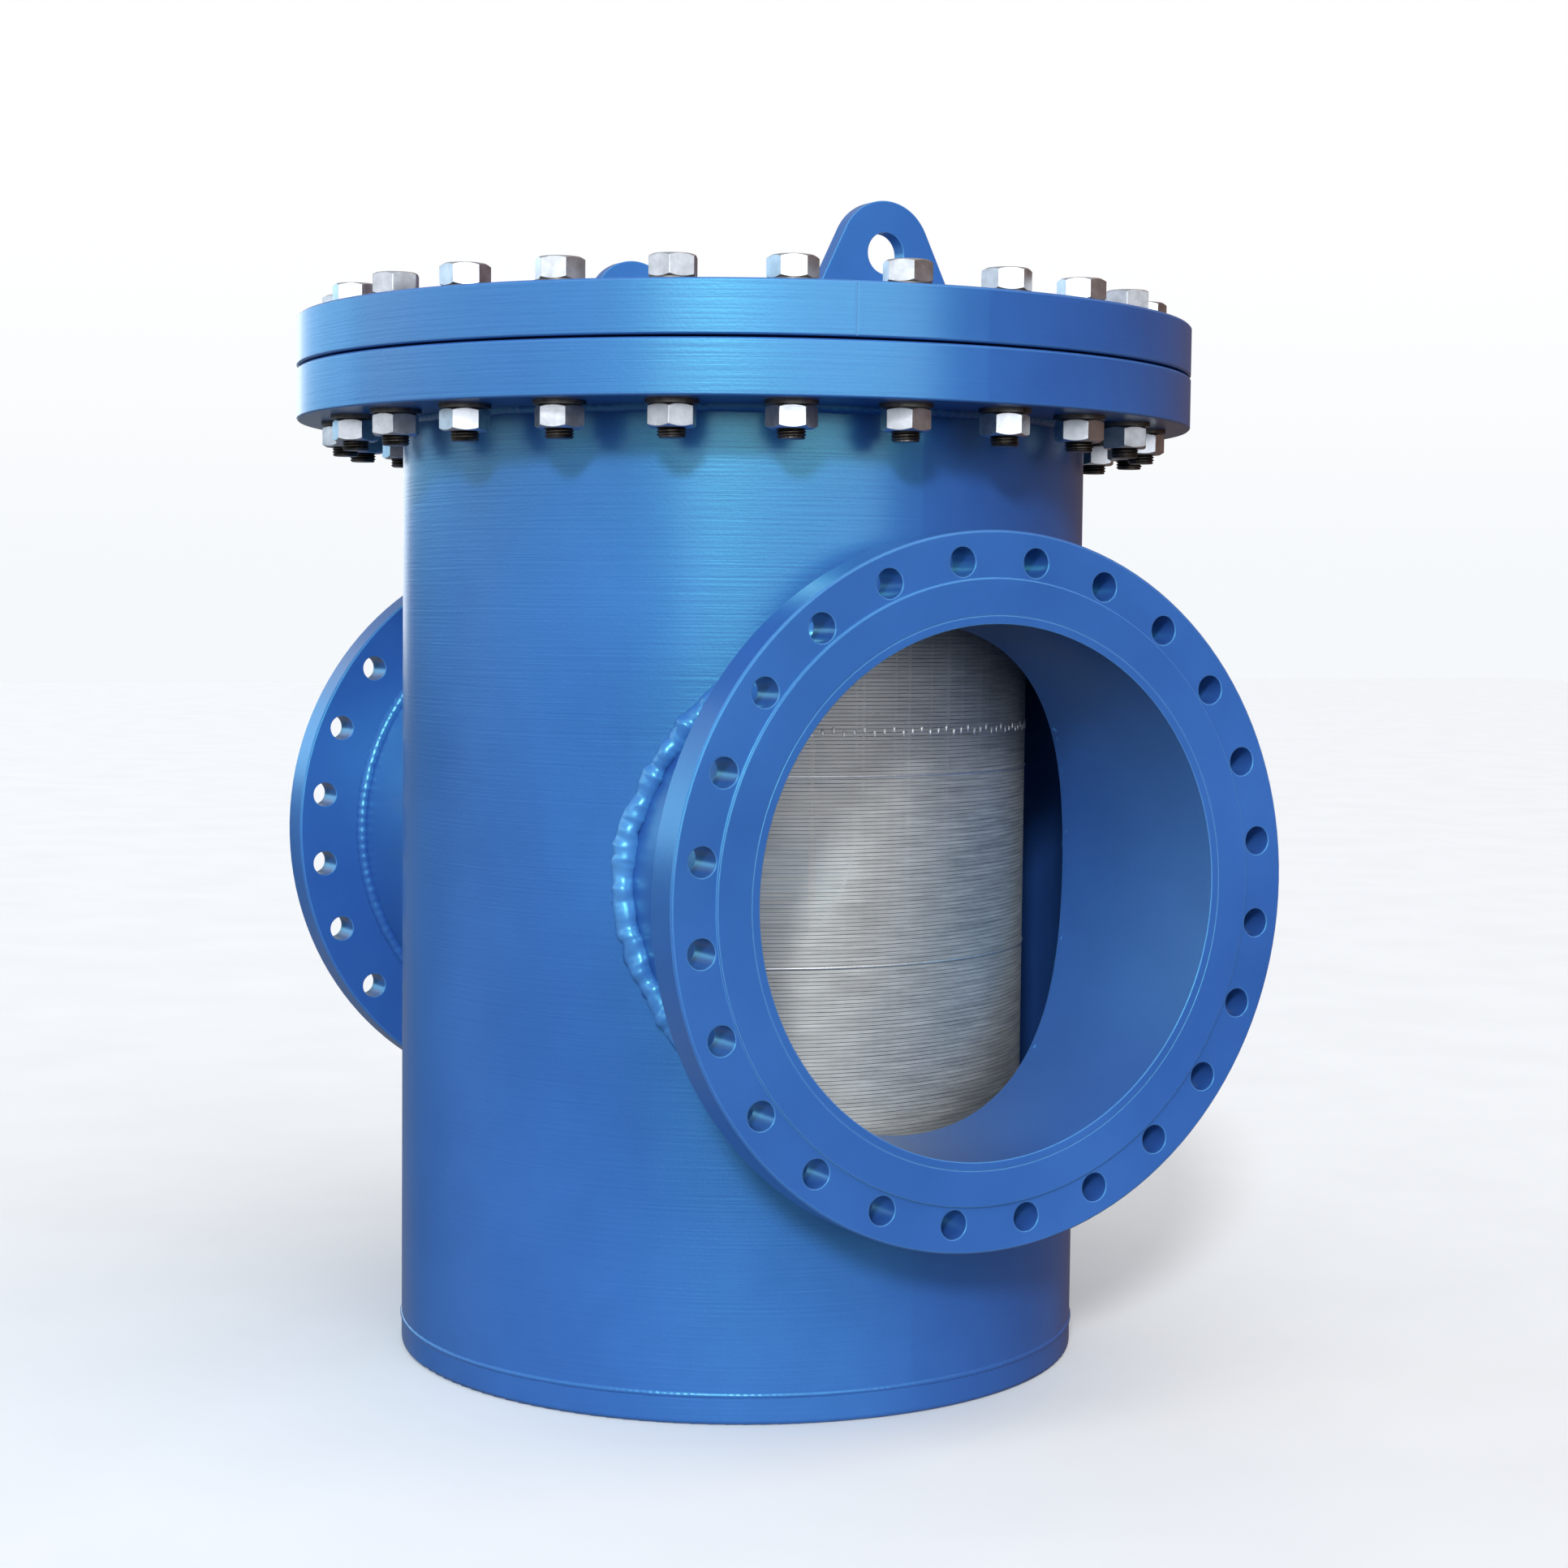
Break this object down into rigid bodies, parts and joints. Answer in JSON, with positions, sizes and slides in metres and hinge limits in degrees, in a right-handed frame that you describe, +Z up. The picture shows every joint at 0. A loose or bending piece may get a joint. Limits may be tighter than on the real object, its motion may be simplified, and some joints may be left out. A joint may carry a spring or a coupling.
{
  "type": "basket strainer",
  "caption": "Flanged in-line basket strainer: upright shell, bolted blind cover with lifting lugs, lift-out wire screen basket, vent and drain plugs.",
  "frame": {"origin": "centre of the underside of the base plate", "axes": "+Z up along the shell's axis, +X out of the outlet nozzle; the inlet faces -X"},
  "size_m": [1.18, 1.118, 1.401],
  "materials": {
    "blue_paint": "semi-gloss enamel over steel",
    "bright_zinc": "bright zinc plated steel",
    "stainless_steel": "satin stainless steel",
    "black_rubber": "matt black rubber"
  },
  "bodies": {
    "body": {"base_plate": "blue_paint", "body_shell": "blue_paint", "body_flange": "blue_paint", "inlet_nozzle": "blue_paint", "outlet_nozzle": "blue_paint", "inlet_flange": "blue_paint", "outlet_flange": "blue_paint", "inlet_seal_land": "blue_paint", "basket_seat_ring": "blue_paint", "basket_locating_ring": "blue_paint", "drain_boss": "blue_paint", "cover_gasket": "black_rubber", "cover_studs": "bright_zinc", "lower_washers": "bright_zinc", "lower_nuts": "bright_zinc"},
    "cover": {"cover_plate": "blue_paint", "outlet_side_lug": "blue_paint", "inlet_side_lug": "blue_paint", "hold_down_posts": "blue_paint", "vent_boss": "blue_paint", "upper_washers": "bright_zinc"},
    "cover_nuts": {"upper_nuts": "bright_zinc"},
    "vent_plug": {"vent_plug": "bright_zinc"},
    "drain_plug": {"drain_plug": "bright_zinc"},
    "basket": {"basket_screen": "stainless_steel", "basket_rods": "stainless_steel", "basket_hoops": "stainless_steel", "basket_bottom": "stainless_steel", "basket_top_ring": "stainless_steel", "basket_gasket": "black_rubber", "inlet_port_frame": "stainless_steel", "inlet_port_seal": "black_rubber", "handle_ears": "stainless_steel"},
    "left_handle": {"left_basket_handle": "stainless_steel"},
    "right_handle": {"right_basket_handle": "stainless_steel"}
  },
  "joints": [
    {"name": "cover_lift", "type": "slide", "parent": "body", "child": "cover", "axis": [0, 0, 1], "range_m": [0, 1.6]},
    {"name": "basket_lift", "type": "slide", "parent": "body", "child": "basket", "axis": [0, 0, 1], "range_m": [0, 1.2]},
    {"name": "cover_nuts_off", "type": "slide", "parent": "cover", "child": "cover_nuts", "axis": [0, 0, 1], "range_m": [0, 0.06]},
    {"name": "vent_plug_out", "type": "slide", "parent": "cover", "child": "vent_plug", "axis": [0, 0, 1], "range_m": [0, 0.06]},
    {"name": "drain_plug_out", "type": "slide", "parent": "body", "child": "drain_plug", "axis": [-0.7071, 0.7071, 0], "range_m": [0, 0.08]},
    {"name": "left_handle_hinge", "type": "hinge", "parent": "basket", "child": "left_handle", "pos_m": [0, 0.382, 1.101], "axis": [-1, 0, 0], "range_deg": [0, 110]},
    {"name": "right_handle_hinge", "type": "hinge", "parent": "basket", "child": "right_handle", "pos_m": [0, -0.382, 1.101], "axis": [1, 0, 0], "range_deg": [0, 110]}
  ],
  "couplings": [
    {"joint": "basket_lift", "follows": "cover_lift", "ratio": 0.75}
  ]
}
